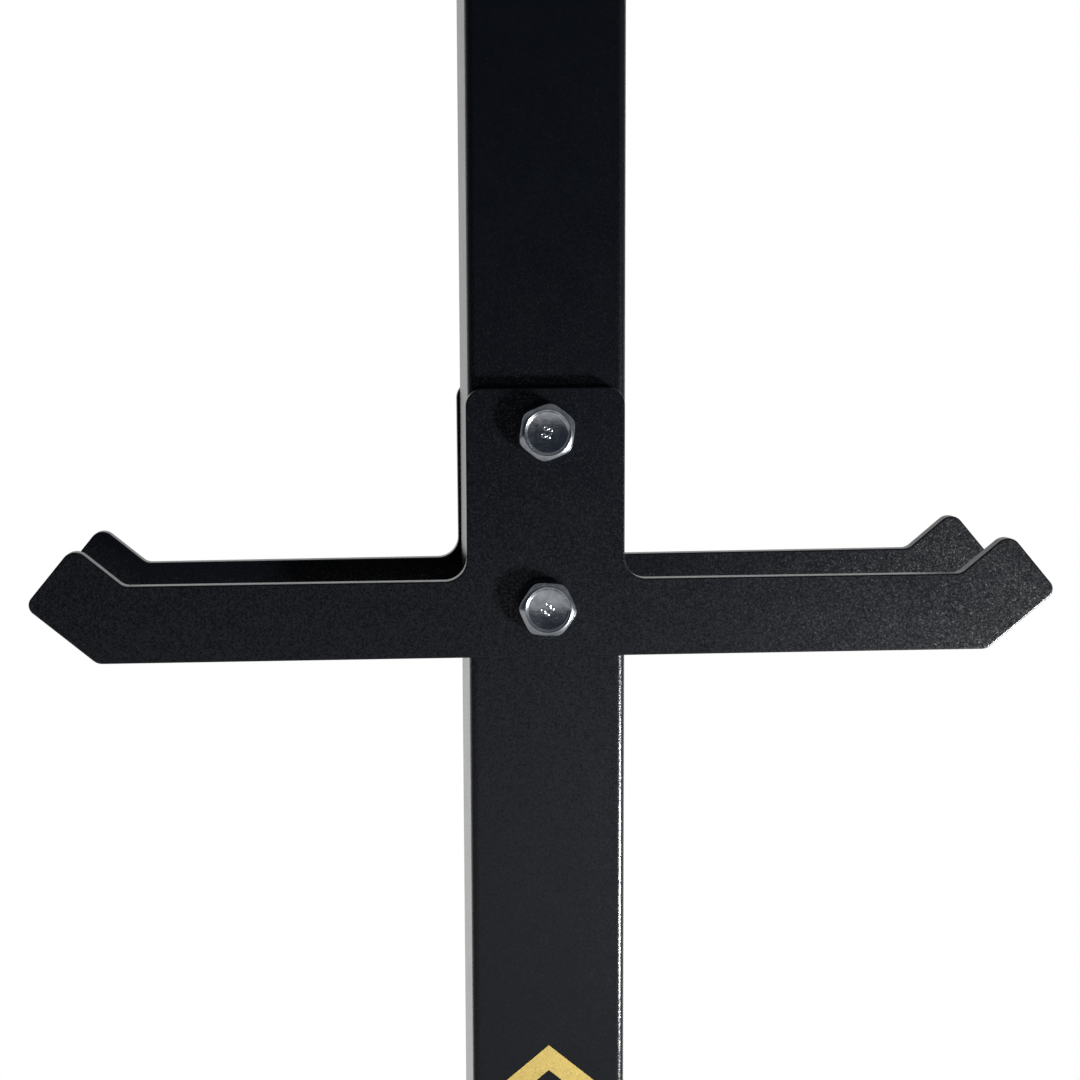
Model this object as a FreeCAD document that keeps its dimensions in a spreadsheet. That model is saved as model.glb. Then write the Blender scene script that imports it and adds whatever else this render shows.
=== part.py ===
import FreeCAD, Part
import os

import Sketcher
from FreeCAD import Rotation, Vector

# A free-standing steel post with a pair of double-ended hook plates, one on its front face and one on
# its rear face. The post is bolted by two gusset plates to a welded base of square tube on rubber pads.
#
# Frame: X runs along the arms, the front of the post faces -Y, and Z is up. The origin is on the
# floor, below the centre of the post.

# ---------------------------------------------------------------- driving dimensions, in millimetres

SIZES = {
    # square tube, the same section in the post and in the base
    "tube_side": 50,
    "tube_wall": 2,
    "tube_corner": 2.5,
    # heights above the floor
    "pad_height": 8,
    "post_top": 1200,
    "hook_height": 950,
    # hook plate
    "plate_thickness": 4.5,
    "plate_rise": 85.1,
    "arm_width": 24.6,
    "arm_reach": 141.8,
    "tip_slope": 29,
    "tip_angle": 40,
    "notch_radius": 7,
    "riser_radius": 5.5,
    "tip_radius": 3.4,
    "bend_radius": 4.5,
    "edge_radius": 0.5,
    "hook_bolt_rise": 16,
    "bolt_spacing": 55.5,
    # the plates and their bolts hang to the left by this much, within the play of the bolt holes
    "hook_play": 0.9,
    # within the same play the rear plate sits higher, to the right and turned, its right arm up
    "rear_lift": 0.64,
    "rear_shift": 0.16,
    "rear_turn": 0.21,
    # M10 bolts, washers and locking nuts
    "bolt_diameter": 10,
    "bolt_length": 75,
    "bolt_hole": 12,
    "head_height": 6.4,
    "head_flats": 17,
    "head_recess": 13,
    "head_recess_depth": 0.5,
    "washer_diameter": 20,
    "washer_hole": 11,
    "washer_thickness": 2,
    "nut_height": 8,
    "collar_height": 2.4,
    "collar_diameter": 15,
    "ring_height": 1.8,
    "ring_diameter": 13,
    "thread_play": 0.1,
    # base
    "crossbar_length": 350,
    "foot_length": 450,
    "weld_radius": 2.2,
    "gusset_base": 4,
    "gusset_width": 180,
    "gusset_side": 40,
    "gusset_rise": 150,
    "gusset_radius": 8,
    "gusset_bolt_rise": 73.5,
    "crossbar_bolt_rise": 21,
    "crossbar_bolt_reach": 60,
    # moulded tube caps
    "cap_flange": 3,
    "cap_edge": 1.2,
    "cap_plug": 14,
    "cap_wall": 3,
    "cap_play": 0.3,
    # floor pads, each with an M8 screw and a nut welded inside the tube
    "pad_inset": 30,
    "pad_top_diameter": 40,
    "pad_floor_diameter": 36,
    "pad_recess_depth": 5.5,
    "pad_recess_diameter": 17,
    "screw_diameter": 8,
    "screw_hole": 9,
    "screw_length": 16,
    "screw_head_diameter": 14,
    "screw_head_height": 4,
    "weld_nut_height": 6.5,
    "weld_nut_flats": 13,
    # printed chevrons on the front of the post
    "mark_drop": 131,
    "mark_width": 35,
    "mark_band": 8.5,
    "mark_pitch": 17,
    "mark_depth": 0.2,
}
MARK_COUNT = 3

UPWARD = Rotation()
FRONTWARD = Rotation(Vector(1, 0, 0), 90)
REARWARD = Rotation(Vector(1, 0, 0), -90)

# ---------------------------------------------------------------- expressions used in several places

COSINE = "cos(sizes.tip_angle * 1 deg)"
SINE = "sin(sizes.tip_angle * 1 deg)"
TANGENT = "tan(sizes.tip_angle * 1 deg)"
TUBE_HALF = "sizes.tube_side / 2"
TUBE_TOP = "sizes.pad_height + sizes.tube_side"
CROSSBAR_HEIGHT = "sizes.pad_height + sizes.tube_side / 2"
FOOT_REACH = "sizes.crossbar_length / 2 + sizes.tube_side / 2"
PLATE_FACE = "sizes.tube_side / 2 + sizes.plate_thickness"
GUSSET_HEIGHT = "sizes.pad_height + sizes.gusset_base"
LOWER_HOOK_BOLT = "sizes.hook_height + sizes.hook_bolt_rise"
UPPER_HOOK_BOLT = "sizes.hook_height + sizes.hook_bolt_rise + sizes.bolt_spacing"
LOWER_BASE_BOLT = f"{GUSSET_HEIGHT} + sizes.gusset_bolt_rise"
UPPER_BASE_BOLT = f"{GUSSET_HEIGHT} + sizes.gusset_bolt_rise + sizes.bolt_spacing"
CROSSBAR_BOLT = f"{GUSSET_HEIGHT} + sizes.crossbar_bolt_rise"

doc = FreeCAD.newDocument("hook_arm_stand")
sheet = doc.addObject("Spreadsheet::Sheet", "sizes")
for row, (alias, number) in enumerate(SIZES.items(), start=1):
    sheet.set(f"A{row}", alias)
    sheet.set(f"B{row}", str(number))
    sheet.setAlias(f"B{row}", alias)
doc.recompute()

nodes = []


# ---------------------------------------------------------------- helpers


def value(expression):
    """The present value of an expression, in millimetres."""
    return float(sheet.evalExpression(expression))


def bind(piece, **expressions):
    """Bind properties of an object to expressions."""
    for name, expression in expressions.items():
        piece.setExpression(name, str(expression))
    return piece


def place(piece, across="0", depth="0", height="0", turn=UPWARD):
    """Turn an object and bind its position to expressions for X, Y and Z."""
    piece.Placement.Rotation = turn
    for axis, expression in zip("xyz", (across, depth, height)):
        piece.setExpression(f"Placement.Base.{axis}", expression)
    return piece


def node(piece, label):
    """Name a finished sub-part and list it for export."""
    piece.Label = label
    nodes.append(piece)
    return piece


def sketch_on(body, name, plane):
    """An empty sketch on one of the body's own origin planes."""
    sketch = body.newObject("Sketcher::SketchObject", name)
    support = next(part for part in body.Origin.OriginFeatures if part.Role == plane)
    sketch.AttachmentSupport = (support, [""])
    sketch.MapMode = "FlatFace"
    return sketch


def locate(sketch, name, point, across, up):
    """Hold a sketch point at two expressions, measured from the sketch's origin."""
    for kind, axis, expression in (("DistanceX", -2, across), ("DistanceY", -1, up)):
        distance = value(expression)
        if abs(distance) < 1e-9:
            sketch.addConstraint(Sketcher.Constraint("PointOnObject", *point, axis))
            continue
        ends, sign = ((-1, 1, *point), "") if distance > 0 else ((*point, -1, 1), "-")
        index = sketch.addConstraint(Sketcher.Constraint(kind, *ends, abs(distance)))
        sketch.renameConstraint(index, f"{name}_{kind}")
        sketch.setExpression(f"Constraints.{name}_{kind}", f"{sign}({expression})")


def outline(sketch, corners):
    """Draw a closed outline through corners, each a pair of expressions."""
    points = [Vector(value(across), value(up), 0) for across, up in corners]
    lines = [
        sketch.addGeometry(Part.LineSegment(start, end), False)
        for start, end in zip(points, points[1:] + points[:1])
    ]
    for line, following in zip(lines, lines[1:] + lines[:1]):
        sketch.addConstraint(Sketcher.Constraint("Coincident", line, 2, following, 1))
    for line, (across, up) in zip(lines, corners):
        locate(sketch, f"corner{line}", (line, 1), across, up)


def rectangle(sketch, width, depth):
    """Draw a rectangle about the sketch's origin."""
    left, right = f"-({width}) / 2", f"({width}) / 2"
    low, high = f"-({depth}) / 2", f"({depth}) / 2"
    outline(sketch, [(left, low), (right, low), (right, high), (left, high)])


def circles(sketch, diameter, centres):
    """Draw equal circles, each centre a pair of expressions."""
    for across, up in centres:
        middle = Vector(value(across), value(up), 0)
        circle = sketch.addGeometry(Part.Circle(middle, Vector(0, 0, 1), value(diameter) / 2), False)
        index = sketch.addConstraint(Sketcher.Constraint("Diameter", circle, value(diameter)))
        sketch.setExpression(f"Constraints[{index}]", diameter)
        locate(sketch, f"centre{circle}", (circle, 3), across, up)


def pad(body, name, profile, length, side="One side", reverse=False):
    """Extrude a sketch by an expression."""
    feature = body.newObject("PartDesign::Pad", name)
    feature.Profile = profile
    feature.SideType = side
    feature.Reversed = reverse
    bind(feature, Length=length)
    doc.recompute()
    return feature


def drill(body, name, diameter, centres, plane="XZ_Plane"):
    """Cut round holes right through a body, both ways from a plane."""
    before = body.Shape.Volume
    profile = sketch_on(body, f"{name}_sketch", plane)
    circles(profile, diameter, centres)
    feature = body.newObject("PartDesign::Pocket", name)
    feature.Profile = profile
    feature.SideType = "Symmetric"
    bind(feature, Length="4 * sizes.tube_side")
    doc.recompute()
    if body.Shape.Volume > before - 1:
        raise RuntimeError(f"{body.Name}: {name} cut nothing")


def fillet(body, name, radius, wanted):
    """Round the edges that a test picks."""
    base = body.Tip
    names = [f"Edge{number}" for number, edge in enumerate(base.Shape.Edges, start=1) if wanted(edge)]
    feature = body.newObject("PartDesign::Fillet", name)
    feature.Base = (base, names)
    bind(feature, Radius=radius)
    doc.recompute()
    return feature


def runs_along(edge, axis):
    """True for a straight edge parallel to a unit axis."""
    if not isinstance(edge.Curve, Part.Line):
        return False
    return abs(abs(edge.Curve.Direction.dot(axis)) - 1) < 1e-6


def at_corner(*corners):
    """A test for edges along Y that stand at one of the corners, or at its mirror image."""
    spots = [(value(across), value(up)) for across, up in corners]

    def wanted(edge):
        start = edge.Vertexes[0].Point
        return runs_along(edge, Vector(0, 1, 0)) and any(
            abs(abs(start.x) - across) < 0.01 and abs(start.z - up) < 0.01 for across, up in spots
        )

    return wanted


def in_face(faces_y):
    """A test for the outer edges that lie wholly in one of the planes Y = constant."""

    def wanted(edge):
        box = edge.BoundBox
        flat = any(abs(box.YMin - y) < 1e-6 and abs(box.YMax - y) < 1e-6 for y in faces_y)
        return flat and not (isinstance(edge.Curve, Part.Circle) and edge.isClosed())

    return wanted


# ---------------------------------------------------------------- tubes


def square_tube(label, plane, length, side):
    """A hollow square tube along the normal of a plane, open at both ends."""
    axis = {"XY_Plane": Vector(0, 0, 1), "XZ_Plane": Vector(0, 1, 0), "YZ_Plane": Vector(1, 0, 0)}[plane]
    body = doc.addObject("PartDesign::Body", f"{label}_body")
    profile = sketch_on(body, f"{label}_section", plane)
    rectangle(profile, "sizes.tube_side", "sizes.tube_side")
    pad(body, f"{label}_bar", profile, length, side)
    rounded = fillet(body, f"{label}_corners", "sizes.tube_corner", lambda edge: runs_along(edge, axis))
    ends = [
        f"Face{number}"
        for number, face in enumerate(rounded.Shape.Faces, start=1)
        if isinstance(face.Surface, Part.Plane) and abs(face.normalAt(0, 0).dot(axis)) > 0.99
    ]
    hollow = body.newObject("PartDesign::Thickness", f"{label}_wall")
    hollow.Base = (rounded, ends)
    hollow.Reversed = True
    bind(hollow, Value="sizes.tube_wall")
    doc.recompute()
    return node(body, label)


def make_tubes():
    """The post, the crossbar it stands on, and the two foot tubes welded to the crossbar's ends."""
    post = square_tube(
        "upright_tube", "XY_Plane", f"sizes.post_top - sizes.cap_flange - ({TUBE_TOP})", "One side"
    )
    place(post, height=TUBE_TOP)
    bolt_heights = (LOWER_BASE_BOLT, UPPER_BASE_BOLT, LOWER_HOOK_BOLT, UPPER_HOOK_BOLT)
    drill(post, "post_holes", "sizes.bolt_hole", [("0", f"{rise} - ({TUBE_TOP})") for rise in bolt_heights])

    crossbar = square_tube("base_crossbar", "YZ_Plane", "sizes.crossbar_length", "Symmetric")
    place(crossbar, height=CROSSBAR_HEIGHT)
    rise = f"{CROSSBAR_BOLT} - ({CROSSBAR_HEIGHT})"
    spots = [(f"{sign}sizes.crossbar_bolt_reach", rise) for sign in ("-", "")]
    drill(crossbar, "crossbar_holes", "sizes.bolt_hole", spots)

    for side, sign in (("left", "-"), ("right", "")):
        foot = square_tube(f"{side}_foot_tube", "XZ_Plane", "sizes.foot_length", "Symmetric")
        place(foot, across=f"{sign}({FOOT_REACH})", height=CROSSBAR_HEIGHT)
        reach = "sizes.foot_length / 2 - sizes.pad_inset"
        profile = sketch_on(foot, f"{side}_screw_holes_sketch", "XY_Plane")
        circles(profile, "sizes.screw_hole", [("0", f"-({reach})"), ("0", reach)])
        holes = foot.newObject("PartDesign::Pocket", f"{side}_screw_holes")
        holes.Profile = profile
        bind(holes, Length="sizes.tube_side")
        doc.recompute()


# ---------------------------------------------------------------- laser-cut plates


def plate(label, corners, roundings, holes, across, depth, height, turn=UPWARD):
    """A flat plate standing on Y = constant, from its right half outline and its mirror image."""
    body = doc.addObject("PartDesign::Body", f"{label}_body")
    profile = sketch_on(body, f"{label}_outline", "XZ_Plane")
    outline(profile, corners)
    half = pad(body, f"{label}_half", profile, "sizes.plate_thickness")
    whole = body.newObject("PartDesign::Mirrored", f"{label}_whole")
    whole.Originals = [half]
    whole.MirrorPlane = (next(p for p in body.Origin.OriginFeatures if p.Role == "YZ_Plane"), [""])
    body.Tip = whole
    doc.recompute()
    for number, (radius, wanted) in enumerate(roundings):
        fillet(body, f"{label}_corner{number}", radius, wanted)
    drill(body, f"{label}_holes", "sizes.bolt_hole", holes)
    fillet(body, f"{label}_edges", "sizes.edge_radius", in_face((0, -value("sizes.plate_thickness"))))
    place(body, across, depth, height, turn)
    return node(body, label)


def make_hook_plates():
    """Two equal plates with a riser and two arms, each arm bent up at its end by the tip angle."""
    tip = (f"sizes.arm_reach + sizes.tip_slope * {COSINE}", f"sizes.tip_slope * {SINE}")
    peak = (f"{tip[0]} - sizes.arm_width * {SINE}", f"{tip[1]} + sizes.arm_width * {COSINE}")
    bend = (f"{peak[0]} - ({peak[1]} - sizes.arm_width) / {TANGENT}", "sizes.arm_width")
    heel = ("sizes.arm_reach", "0")
    notch = (TUBE_HALF, "sizes.arm_width")
    shoulder = (TUBE_HALF, "sizes.plate_rise")
    corners = [("0", "0"), heel, tip, peak, bend, notch, shoulder, ("0", "sizes.plate_rise")]
    roundings = [
        ("sizes.notch_radius", at_corner(notch)),
        ("sizes.riser_radius", at_corner(shoulder)),
        ("sizes.tip_radius", at_corner(tip)),
        ("sizes.bend_radius", at_corner(heel, peak, bend)),
    ]
    holes = [("0", "sizes.hook_bolt_rise"), ("0", "sizes.hook_bolt_rise + sizes.bolt_spacing")]
    front = ("-sizes.hook_play", f"-({TUBE_HALF})", "sizes.hook_height")
    rear = ("sizes.rear_shift - sizes.hook_play", PLATE_FACE, "sizes.hook_height + sizes.rear_lift")
    plate("front_hook_plate", corners, roundings, holes, *front)
    tilted = Rotation(Vector(0, -1, 0), value("sizes.rear_turn"))
    plate("rear_hook_plate", corners, roundings, holes, *rear, tilted)


def make_gusset_plates():
    """Two equal plates that hold the foot of the post to the crossbar."""
    width = "sizes.gusset_width / 2"
    elbow = (TUBE_HALF, f"sizes.gusset_side + ({width} - {TUBE_HALF}) * {TANGENT}")
    side = (width, "sizes.gusset_side")
    shoulder = (TUBE_HALF, "sizes.gusset_rise")
    corners = [("0", "0"), (width, "0"), side, elbow, shoulder, ("0", "sizes.gusset_rise")]
    roundings = [
        ("sizes.gusset_radius", at_corner(side, elbow)),
        ("sizes.riser_radius", at_corner((width, "0"), shoulder)),
    ]
    holes = [
        ("0", "sizes.gusset_bolt_rise"),
        ("0", "sizes.gusset_bolt_rise + sizes.bolt_spacing"),
        ("sizes.crossbar_bolt_reach", "sizes.crossbar_bolt_rise"),
        ("-sizes.crossbar_bolt_reach", "sizes.crossbar_bolt_rise"),
    ]
    for label, face in (("front_base_gusset", f"-({TUBE_HALF})"), ("rear_base_gusset", PLATE_FACE)):
        plate(label, corners, roundings, holes, "0", face, GUSSET_HEIGHT)


# ---------------------------------------------------------------- primitives and booleans


def cylinder(label, diameter, height, bottom="0"):
    """A cylinder about its own Z axis."""
    piece = doc.addObject("Part::Cylinder", label)
    bind(piece, Radius=f"({diameter}) / 2", Height=height)
    return place(piece, height=bottom)


def hexagon(label, flats, height):
    """A hexagonal prism on Z = 0, with flats as its width across flats."""
    piece = doc.addObject("Part::Prism", label)
    piece.Polygon = 6
    return bind(piece, Circumradius=f"{flats} / 2 / cos(30 deg)", Height=height)


def cone(label, low_diameter, high_diameter, height, bottom="0"):
    """A cone or a cone's stump about its own Z axis."""
    piece = doc.addObject("Part::Cone", label)
    bind(piece, Radius1=f"({low_diameter}) / 2", Radius2=f"({high_diameter}) / 2", Height=height)
    return place(piece, height=bottom)


def combine(kind, label, base, tool):
    """A Part::Cut, Part::Fuse or Part::Common of two objects."""
    piece = doc.addObject(kind, label)
    piece.Base = base
    piece.Tool = tool
    return piece


def turned_hexagon(label, flats, height):
    """A hexagonal prism whose top corners are turned off at 30 degrees."""
    slope = f"{flats} * 0.95 + 2 * {height} / tan(30 deg)"
    turning = cone(f"{label}_turning", slope, f"{flats} * 0.95", height)
    return combine("Part::Common", f"{label}_hexagon", hexagon(f"{label}_prism", flats, height), turning)


# ---------------------------------------------------------------- M10 fasteners


def bolt(label, spot, turn):
    """A hex bolt from the front, its head bearing on the front plate, turned about its own axis."""
    head = turned_hexagon(label, "sizes.head_flats", "sizes.head_height")
    floor = "sizes.head_height - sizes.head_recess_depth"
    recess = cylinder(f"{label}_recess", "sizes.head_recess", "sizes.head_height", floor)
    dished = combine("Part::Cut", f"{label}_head", head, recess)
    shank = cylinder(f"{label}_shank", "sizes.bolt_diameter", "sizes.bolt_length", "-sizes.bolt_length")
    whole = combine("Part::Fuse", f"{label}_whole", dished, shank)
    spin = FRONTWARD.multiply(Rotation(Vector(0, 0, 1), turn))
    place(whole, spot[0], f"-({PLATE_FACE})", spot[1], spin)
    node(whole, label)


def washer(label, spot):
    """A flat washer on the rear plate."""
    disc = cylinder(f"{label}_disc", "sizes.washer_diameter", "sizes.washer_thickness")
    hole = cylinder(f"{label}_hole", "sizes.washer_hole", "sizes.washer_thickness")
    ring = combine("Part::Cut", f"{label}_ring", disc, hole)
    node(place(ring, spot[0], PLATE_FACE, spot[1], REARWARD), label)


def lock_nut(label, spot):
    """A hex nut with a round collar that holds a nylon ring, on the washer."""
    blank = turned_hexagon(label, "sizes.head_flats", "sizes.nut_height")
    collar = cylinder(f"{label}_collar", "sizes.collar_diameter", "sizes.collar_height", "sizes.nut_height")
    body = combine("Part::Fuse", f"{label}_blank", blank, collar)
    bore = cylinder(f"{label}_bore", "sizes.bolt_diameter + sizes.thread_play", "sizes.nut_height")
    seat = cylinder(f"{label}_seat", "sizes.ring_diameter", "sizes.collar_height", "sizes.nut_height")
    bored = combine("Part::Cut", f"{label}_bored", body, bore)
    nut = combine("Part::Cut", f"{label}_nut", bored, seat)
    node(place(nut, spot[0], f"{PLATE_FACE} + sizes.washer_thickness", spot[1], REARWARD), label)


def nylon_ring(label, spot):
    """The ring in the nut's collar that grips the thread."""
    disc = cylinder(f"{label}_disc", "sizes.ring_diameter", "sizes.ring_height")
    hole = cylinder(f"{label}_hole", "sizes.bolt_diameter + sizes.thread_play", "sizes.ring_height")
    ring = combine("Part::Cut", f"{label}_ring", disc, hole)
    depth = f"{PLATE_FACE} + sizes.washer_thickness + sizes.nut_height"
    node(place(ring, spot[0], depth, spot[1], REARWARD), label)


def make_fasteners():
    """Six equal sets of bolt, washer and locking nut, each head turned as it was tightened."""
    joints = {
        "upper_hook": (("-sizes.hook_play", UPPER_HOOK_BOLT), 22),
        "lower_hook": (("-sizes.hook_play", LOWER_HOOK_BOLT), -4),
        "upper_base": (("0", UPPER_BASE_BOLT), 11),
        "lower_base": (("0", LOWER_BASE_BOLT), -17),
        "left_base": (("-sizes.crossbar_bolt_reach", CROSSBAR_BOLT), 27),
        "right_base": (("sizes.crossbar_bolt_reach", CROSSBAR_BOLT), 6),
    }
    for name, (spot, turn) in joints.items():
        bolt(f"{name}_bolt", spot, turn)
        washer(f"{name}_washer", spot)
        lock_nut(f"{name}_nut", spot)
        nylon_ring(f"{name}_nylon_ring", spot)


# ---------------------------------------------------------------- tube caps


def tube_cap(label, turn, across="0", depth="0", height="0"):
    """A moulded cap with its flange outside the tube's end and a hollow plug inside it."""
    bore = "sizes.tube_side - 2 * sizes.tube_wall - sizes.cap_play"
    body = doc.addObject("PartDesign::Body", f"{label}_body")
    flange = sketch_on(body, f"{label}_flange_outline", "XY_Plane")
    rectangle(flange, "sizes.tube_side", "sizes.tube_side")
    pad(body, f"{label}_flange", flange, "sizes.cap_flange")
    upright = Vector(0, 0, 1)
    fillet(body, f"{label}_corners", "sizes.tube_corner", lambda edge: runs_along(edge, upright))
    top = value("sizes.cap_flange")
    fillet(body, f"{label}_edge", "sizes.cap_edge", lambda edge: edge.BoundBox.ZMin > top - 1e-6)
    plug = sketch_on(body, f"{label}_plug_outline", "XY_Plane")
    rectangle(plug, bore, bore)
    pad(body, f"{label}_plug", plug, "sizes.cap_plug", reverse=True)
    hollow = sketch_on(body, f"{label}_hollow_outline", "XY_Plane")
    rectangle(hollow, f"{bore} - 2 * sizes.cap_wall", f"{bore} - 2 * sizes.cap_wall")
    before = body.Shape.Volume
    pocket = body.newObject("PartDesign::Pocket", f"{label}_hollow")
    pocket.Profile = hollow
    bind(pocket, Length="sizes.cap_plug")
    doc.recompute()
    if body.Shape.Volume > before - 1:
        raise RuntimeError(f"{label}: the plug is not hollow")
    place(body, across, depth, height, turn)
    node(body, label)


def make_caps():
    """One cap on the post and one on each end of the foot tubes."""
    tube_cap("upright_top_cap", UPWARD, height="sizes.post_top - sizes.cap_flange")
    for side, across in (("left", f"-({FOOT_REACH})"), ("right", FOOT_REACH)):
        for end, sign, turn in (("front", "-", FRONTWARD), ("rear", "", REARWARD)):
            depth = f"{sign}sizes.foot_length / 2"
            tube_cap(f"{end}_{side}_end_cap", turn, across, depth, CROSSBAR_HEIGHT)


# ---------------------------------------------------------------- floor pads


def floor_pad(label, across, depth):
    """A rubber pad, the screw that holds it, and the nut welded inside the tube above it."""
    blank = cone(f"{label}_blank", "sizes.pad_floor_diameter", "sizes.pad_top_diameter", "sizes.pad_height")
    recess = cylinder(f"{label}_recess", "sizes.pad_recess_diameter", "sizes.pad_recess_depth")
    hole = cylinder(f"{label}_hole", "sizes.screw_hole", "sizes.pad_height")
    recessed = combine("Part::Cut", f"{label}_recessed", blank, recess)
    rubber = combine("Part::Cut", f"{label}_rubber", recessed, hole)
    node(place(rubber, across, depth), f"{label}_pad")

    drop = "sizes.screw_head_height"
    head = cylinder(f"{label}_screw_head", "sizes.screw_head_diameter", drop, f"-{drop}")
    shank = cylinder(f"{label}_screw_shank", "sizes.screw_diameter", "sizes.screw_length")
    screw = combine("Part::Fuse", f"{label}_screw_whole", head, shank)
    node(place(screw, across, depth, "sizes.pad_recess_depth"), f"{label}_pad_screw")

    prism = hexagon(f"{label}_nut_prism", "sizes.weld_nut_flats", "sizes.weld_nut_height")
    play = "sizes.screw_diameter + sizes.thread_play"
    bore = cylinder(f"{label}_nut_bore", play, "sizes.weld_nut_height")
    nut = combine("Part::Cut", f"{label}_nut_whole", prism, bore)
    node(place(nut, across, depth, "sizes.pad_height + sizes.tube_wall"), f"{label}_weld_nut")


def make_floor_pads():
    """One pad near each end of each foot tube."""
    reach = "(sizes.foot_length / 2 - sizes.pad_inset)"
    for side, across in (("left", f"-({FOOT_REACH})"), ("right", FOOT_REACH)):
        for end, sign in (("front", "-"), ("rear", "")):
            floor_pad(f"{end}_{side}", across, f"{sign}{reach}")


# ---------------------------------------------------------------- welds and the printed mark


def make_welds():
    """A bead round each end of the crossbar: a bar bent to the tube's outline, less the two tubes."""
    tubes = {piece.Label: piece for piece in nodes}
    body = doc.addObject("PartDesign::Body", "bead_body")
    path = sketch_on(body, "bead_path", "YZ_Plane")
    half, corner = value(TUBE_HALF), value("sizes.tube_corner")
    flat = half - corner
    for quarter in range(4):
        turn = Rotation(Vector(0, 0, 1), 90 * quarter)
        line = (turn.multVec(Vector(half, -flat, 0)), turn.multVec(Vector(half, flat, 0)))
        path.addGeometry(Part.LineSegment(*line), False)
        bend = [Vector(half, flat, 0), Vector(flat + corner * 0.5**0.5, flat + corner * 0.5**0.5, 0)]
        bend.append(Vector(flat, half, 0))
        path.addGeometry(Part.Arc(*(turn.multVec(point) for point in bend)), False)
    section = sketch_on(body, "bead_section", "XY_Plane")
    circles(section, "2 * sizes.weld_radius", [("0", TUBE_HALF)])
    bead = body.newObject("PartDesign::AdditivePipe", "bead_pipe")
    bead.Profile = section
    bead.Spine = (path, [f"Edge{number}" for number in range(1, 9)])
    doc.recompute()
    place(body, across="sizes.crossbar_length / 2", height=CROSSBAR_HEIGHT)
    trimmed = combine("Part::Cut", "bead_trimmed", body, tubes["base_crossbar"])
    right = node(combine("Part::Cut", "bead_right", trimmed, tubes["right_foot_tube"]), "right_weld_bead")
    left = doc.addObject("Part::Mirroring", "bead_left")
    left.Source = right
    left.Normal = Vector(1, 0, 0)
    node(left, "left_weld_bead")


def make_mark():
    """Printed chevrons, one below the other, on the front of the post."""
    body = doc.addObject("PartDesign::Body", "mark_body")
    profile = sketch_on(body, "mark_outline", "XZ_Plane")
    half = "sizes.mark_width / 2"
    for number in range(MARK_COUNT):
        top = f"-{number} * sizes.mark_pitch"
        shoulder = f"{top} - {half} * {TANGENT}"
        corners = [("0", top), (half, shoulder), (half, f"{shoulder} - sizes.mark_band")]
        corners += [("0", f"{top} - sizes.mark_band"), (f"-{half}", f"{shoulder} - sizes.mark_band")]
        outline(profile, corners + [(f"-{half}", shoulder)])
    pad(body, "mark_print", profile, "sizes.mark_depth")
    place(body, depth=f"-({TUBE_HALF})", height="sizes.hook_height - sizes.mark_drop")
    node(body, "gold_mark")


def export():
    """Check every object, then write each sub-part to its own file."""
    doc.recompute()
    for piece in doc.Objects:
        if {"Invalid", "Error"} & set(piece.State):
            raise RuntimeError(f"{piece.Label}: {piece.State}")
    for piece in nodes:
        if piece.Shape.isNull() or not piece.Shape.isValid():
            raise RuntimeError(f"{piece.Label}: bad shape")
    os.makedirs("parts", exist_ok=True)
    for piece in nodes:
        piece.Shape.exportStep(f"parts/{piece.Label}.step")
        box = piece.Shape.BoundBox
        print(f"{piece.Label}: {piece.Shape.Volume:.0f} mm3, Z {box.ZMin:.1f} to {box.ZMax:.1f}")


make_tubes()
make_hook_plates()
make_gusset_plates()
make_fasteners()
make_caps()
make_floor_pads()
make_welds()
make_mark()
export()
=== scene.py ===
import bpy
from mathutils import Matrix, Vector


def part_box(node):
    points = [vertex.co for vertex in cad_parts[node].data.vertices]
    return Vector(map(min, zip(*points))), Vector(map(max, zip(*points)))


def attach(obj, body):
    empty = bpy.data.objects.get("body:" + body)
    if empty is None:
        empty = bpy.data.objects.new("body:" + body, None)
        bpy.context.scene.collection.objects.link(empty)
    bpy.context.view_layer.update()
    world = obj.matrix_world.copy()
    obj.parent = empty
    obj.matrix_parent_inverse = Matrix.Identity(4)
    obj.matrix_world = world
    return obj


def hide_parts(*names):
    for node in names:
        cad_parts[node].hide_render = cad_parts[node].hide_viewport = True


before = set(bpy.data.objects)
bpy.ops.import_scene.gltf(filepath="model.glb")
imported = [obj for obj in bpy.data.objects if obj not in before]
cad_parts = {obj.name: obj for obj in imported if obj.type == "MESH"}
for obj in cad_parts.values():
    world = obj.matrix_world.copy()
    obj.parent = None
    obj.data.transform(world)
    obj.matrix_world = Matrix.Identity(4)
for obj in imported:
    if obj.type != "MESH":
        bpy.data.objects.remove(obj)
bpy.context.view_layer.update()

# Looks of a free-standing steel post with two pairs of hook arms, built round its fixed frame.

import logging
import math
from collections.abc import Callable, Iterable, Sequence
from dataclasses import dataclass, field
from enum import Enum

import bpy
from mathutils import Euler, Matrix, Vector

log = logging.getLogger("hook_arm_stand")

Colour = tuple[float, float, float]
Socket = bpy.types.NodeSocket
MM = 0.001


class Slot(Enum):
    """The record's material slots."""

    COAT = "black_powder_coat"
    ZINC = "zinc_plate"
    PLASTIC = "black_plastic"
    RUBBER = "black_rubber"
    NYLON = "white_nylon"


# ---------------------------------------------------------------- node trees


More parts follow.
